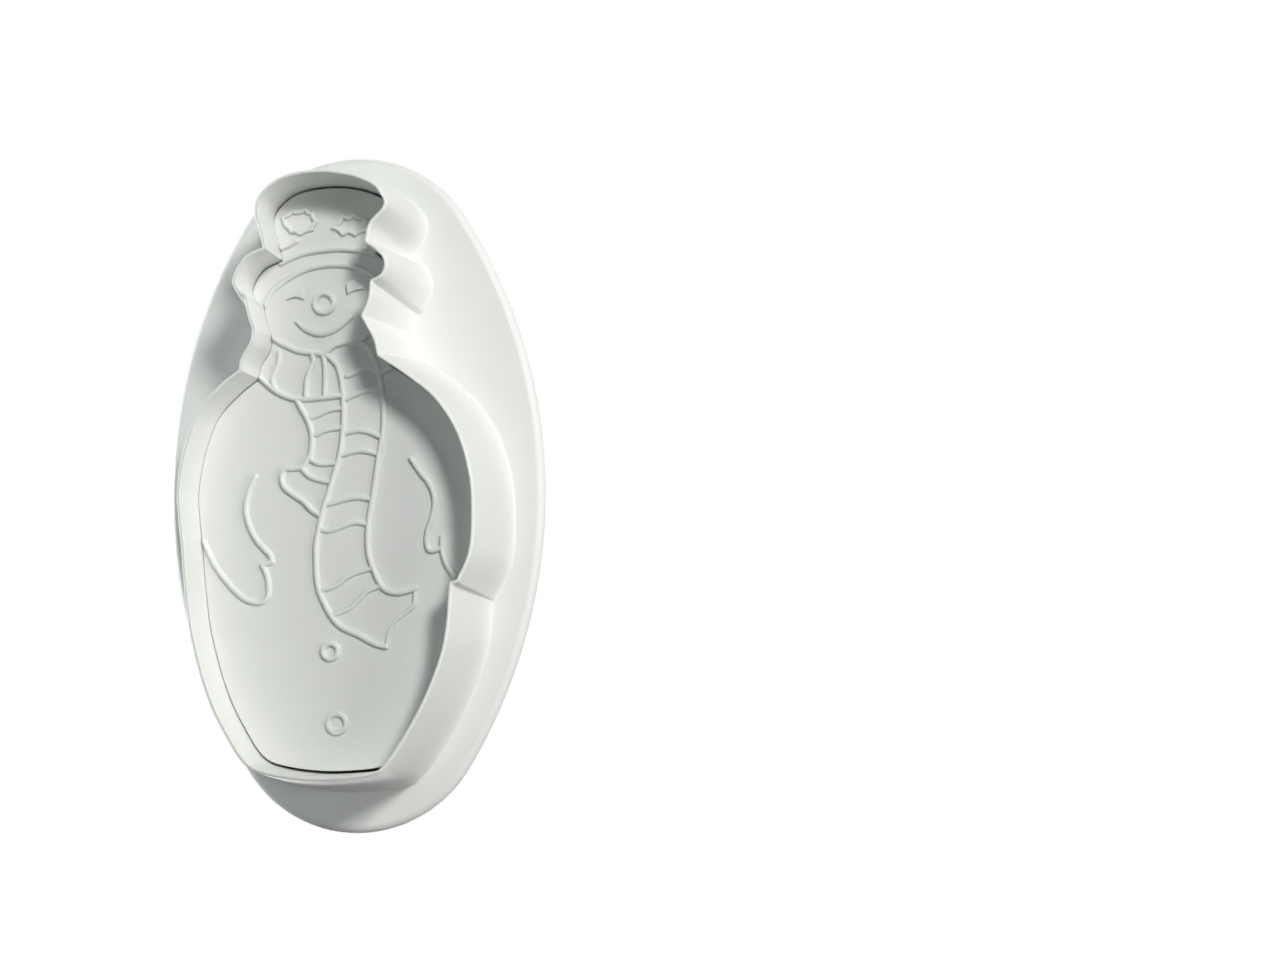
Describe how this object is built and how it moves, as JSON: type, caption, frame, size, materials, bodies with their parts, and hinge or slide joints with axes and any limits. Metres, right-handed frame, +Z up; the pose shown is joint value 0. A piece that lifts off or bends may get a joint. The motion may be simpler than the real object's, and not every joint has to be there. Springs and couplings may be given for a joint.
{
  "type": "plunger cutter",
  "caption": "Snowman-shaped pastry cutter: thin cutting wall on an oval flange, with a sprung embossing plate on a plunger that slides in a guide tube and ends in a round knob.",
  "frame": {"origin": "on the plunger's axis, in the plane of the cutting edge", "axes": "+Z up the plunger to the knob, +Y to the snowman's hat; the face is read from below, with its own right towards -X"},
  "size_m": [0.0564, 0.1, 0.0792],
  "materials": {
    "white_plastic_body": "satin moulded white plastic",
    "white_plastic_plunger": "satin moulded white plastic",
    "spring_steel": "drawn spring wire"
  },
  "bodies": {
    "cutter": {"cutting_wall": "white_plastic_body", "oval_flange": "white_plastic_body", "tube_socket": "white_plastic_body", "guide_tube": "white_plastic_body", "tube_collar": "white_plastic_body", "return_spring": "spring_steel"},
    "plunger": {"embossing_plate": "white_plastic_plunger", "plate_skirt": "white_plastic_plunger", "plunger_stem": "white_plastic_plunger", "knob_shank": "white_plastic_plunger", "push_knob": "white_plastic_plunger", "hat_band": "white_plastic_plunger", "hat_leaf_left": "white_plastic_plunger", "hat_leaf_right": "white_plastic_plunger", "eyes": "white_plastic_plunger", "nose_ring": "white_plastic_plunger", "smile": "white_plastic_plunger", "scarf_wrap": "white_plastic_plunger", "scarf_long_end": "white_plastic_plunger", "scarf_short_end": "white_plastic_plunger", "arm_left": "white_plastic_plunger", "arm_right": "white_plastic_plunger", "buttons": "white_plastic_plunger"}
  },
  "joints": [
    {"name": "plunger_slide", "type": "slide", "parent": "cutter", "child": "plunger", "axis": [0, 0, -1], "range_m": [0, 0.01], "stiffness_N_per_m": 300, "springref_m": -0.012, "deforming": ["return_spring"]}
  ]
}
